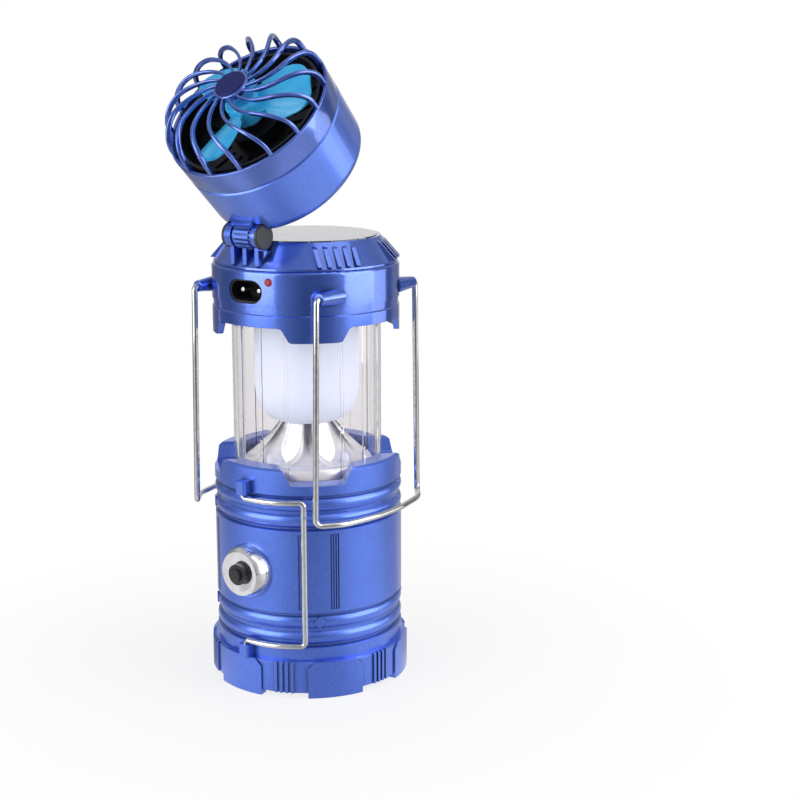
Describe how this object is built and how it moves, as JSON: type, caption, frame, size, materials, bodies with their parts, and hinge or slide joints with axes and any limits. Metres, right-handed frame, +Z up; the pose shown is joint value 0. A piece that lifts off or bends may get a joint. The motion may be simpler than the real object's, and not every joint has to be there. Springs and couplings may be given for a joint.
{
  "type": "camping lantern with torch and hinged fan",
  "caption": "Collapsible camping lantern with a torch in its foot, a clear lamp tube, wire bails, a folding side handle and a small caged fan hinged on the solar cap.",
  "frame": {"origin": "on the lantern's axis, at the floor under the torch bezel's feet", "axes": "+Z up along the lantern's axis, -Y towards the switch and charging socket, +X to the right seen from the front"},
  "size_m": [0.0908, 0.1089, 0.2756],
  "materials": {
    "blue_shell": "metallic paint, satin gloss",
    "fan_shell": "metallic paint, satin gloss",
    "navy_trim": "gloss",
    "wire_chrome": "bright plated wire",
    "switch_chrome": "bright plated",
    "mirror_coat": "vacuum plated mirror",
    "steel": "bright steel",
    "black_plastic": "moulded black",
    "black_rubber": "matte",
    "clear_plastic": "clear moulded plastic",
    "frosted_plastic": "frosted white",
    "white_board": "white solder mask",
    "led_lens": "yellowish emitter",
    "red_led": "clear red",
    "green_board": "green solder mask",
    "cell_wrap": "shrink wrap",
    "solar_face": "dark cells under resin",
    "blade_blue": "translucent blue"
  },
  "bodies": {
    "base": {"bezel_ring": "blue_shell", "lens_seal": "black_rubber", "torch_lens": "clear_plastic", "torch_reflector": "mirror_coat", "torch_led_board": "white_board", "torch_led": "led_lens", "base_body": "blue_shell", "switch_bezel": "switch_chrome", "switch_nut": "steel", "switch_body": "black_plastic"},
    "lantern_top": {"lens_tube": "clear_plastic", "petal_reflector": "mirror_coat", "diffuser": "frosted_plastic", "lamp_board": "white_board", "lamp_leds": "led_lens", "cap_skirt": "blue_shell", "cap_band": "blue_shell", "cap_screws": "steel", "charge_inlet": "black_plastic", "inlet_pins": "steel", "charge_led": "red_led", "control_board": "green_board", "battery_cell": "cell_wrap", "battery_holder": "black_plastic", "top_cover": "blue_shell", "solar_panel": "solar_face", "hinge_pin": "steel", "hinge_caps": "black_plastic"},
    "fan_head": {"fan_housing": "fan_shell", "fan_back_cover": "fan_shell", "fan_grille": "fan_shell", "grille_hub_cap": "navy_trim", "motor_mount": "black_plastic", "fan_motor": "steel"},
    "fan_rotor": {"motor_shaft": "steel", "fan_blade": "blade_blue"},
    "left_bail": {"bail_left": "wire_chrome"},
    "right_bail": {"bail_right": "wire_chrome"},
    "handle": {"carry_handle": "wire_chrome"},
    "button": {"switch_button": "black_plastic"}
  },
  "joints": [
    {"name": "lantern_slide", "type": "slide", "parent": "base", "child": "lantern_top", "axis": [0, 0, -1], "range_m": [0, 0.0586]},
    {"name": "fan_hinge", "type": "hinge", "parent": "lantern_top", "child": "fan_head", "pos_m": [0, -0.0363, 0.195], "axis": [1, 0, 0], "range_deg": [-44.9, 45]},
    {"name": "fan_spin", "type": "hinge", "parent": "fan_head", "child": "fan_rotor", "pos_m": [0, -0.00946, 0.21949], "axis": [0, -0.7059, 0.7083], "continuous": true},
    {"name": "left_bail_swing", "type": "hinge", "parent": "lantern_top", "child": "left_bail", "pos_m": [-0.033, 0, 0.1711], "axis": [0, 1, 0], "range_deg": [0, 172]},
    {"name": "right_bail_swing", "type": "hinge", "parent": "lantern_top", "child": "right_bail", "pos_m": [0.033, 0, 0.1711], "axis": [0, -1, 0], "range_deg": [0, 172]},
    {"name": "handle_swing", "type": "hinge", "parent": "base", "child": "handle", "pos_m": [0, -0.0434, 0.055], "axis": [0, 0, -1], "range_deg": [0, 110]},
    {"name": "button_press", "type": "slide", "parent": "base", "child": "button", "axis": [0, 1, 0], "range_m": [0, 0.002], "stiffness_N_per_m": 400}
  ]
}
